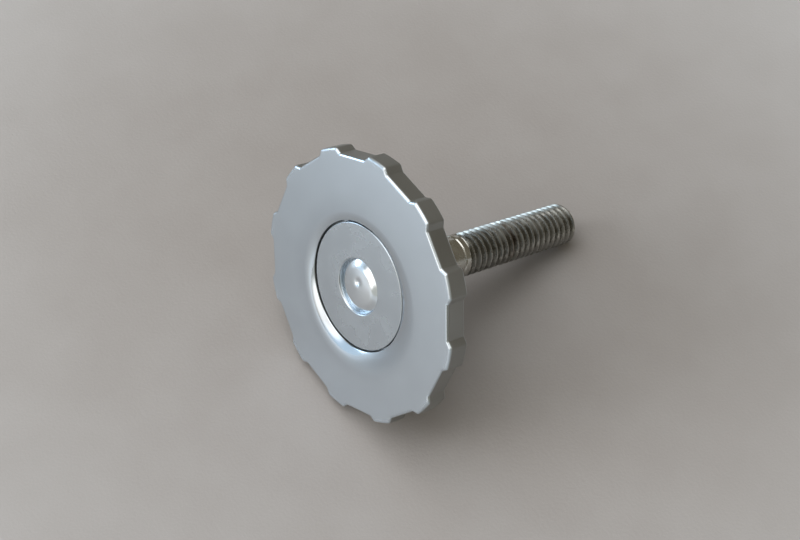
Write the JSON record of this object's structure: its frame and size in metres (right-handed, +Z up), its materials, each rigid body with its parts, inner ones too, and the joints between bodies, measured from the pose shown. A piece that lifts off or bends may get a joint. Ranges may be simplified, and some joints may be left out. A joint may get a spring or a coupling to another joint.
{
  "type": "side cover screw",
  "caption": "Thumb screw for a side cover: a flat chromed disc with grip lobes round its rim and a washer in its dished middle, riveted onto a threaded stud.",
  "frame": {"origin": "on the bench, under the middle of the screw's bounding box as it lies", "axes": "+X the way the stud points as seen from above, +Z up from the bench; the stud's axis slopes down towards its tip by about 22.5 degrees"},
  "size_m": [0.0422, 0.0344, 0.0327],
  "materials": {
    "bright_chrome": "bright chrome plate on pressed steel",
    "satin_chrome": "chrome plate over fine turning marks",
    "plated_steel": "dull plated steel, slightly tarnished"
  },
  "bodies": {
    "root": {"lobed_disc": "bright_chrome", "centre_washer": "satin_chrome", "threaded_stud": "plated_steel"}
  },
  "joints": []
}
